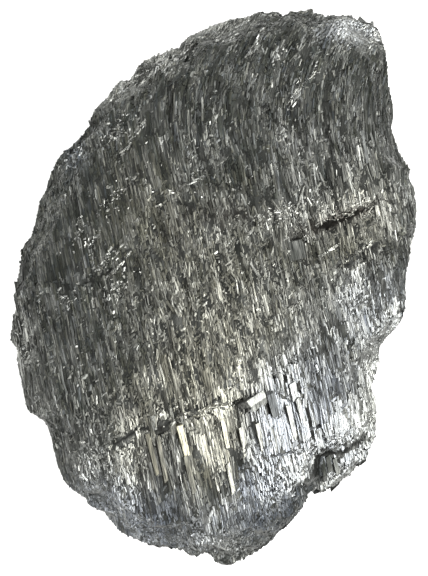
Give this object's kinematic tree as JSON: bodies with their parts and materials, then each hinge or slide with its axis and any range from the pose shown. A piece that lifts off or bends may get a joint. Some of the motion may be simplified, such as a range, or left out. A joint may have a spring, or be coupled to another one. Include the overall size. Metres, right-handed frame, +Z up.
{
  "type": "andorite specimen",
  "caption": "Flat broken slab of grey metallic sulphosalt made of parallel striated laths, with stepped breaks across them and one broad flat side to rest on.",
  "frame": {"origin": "on the resting surface, under the middle of the specimen's outline", "axes": "+Z up, away from the resting side; +Y along the specimen's length, towards the end with the straight corner; +X across it"},
  "size_m": [0.0372, 0.0506, 0.0146],
  "materials": {
    "andorite_metal": "metallic grey sulphosalt, broken and striated, dull lustre with bright cleavage facets"
  },
  "bodies": {
    "root": {"andorite_specimen": "andorite_metal"}
  },
  "joints": []
}
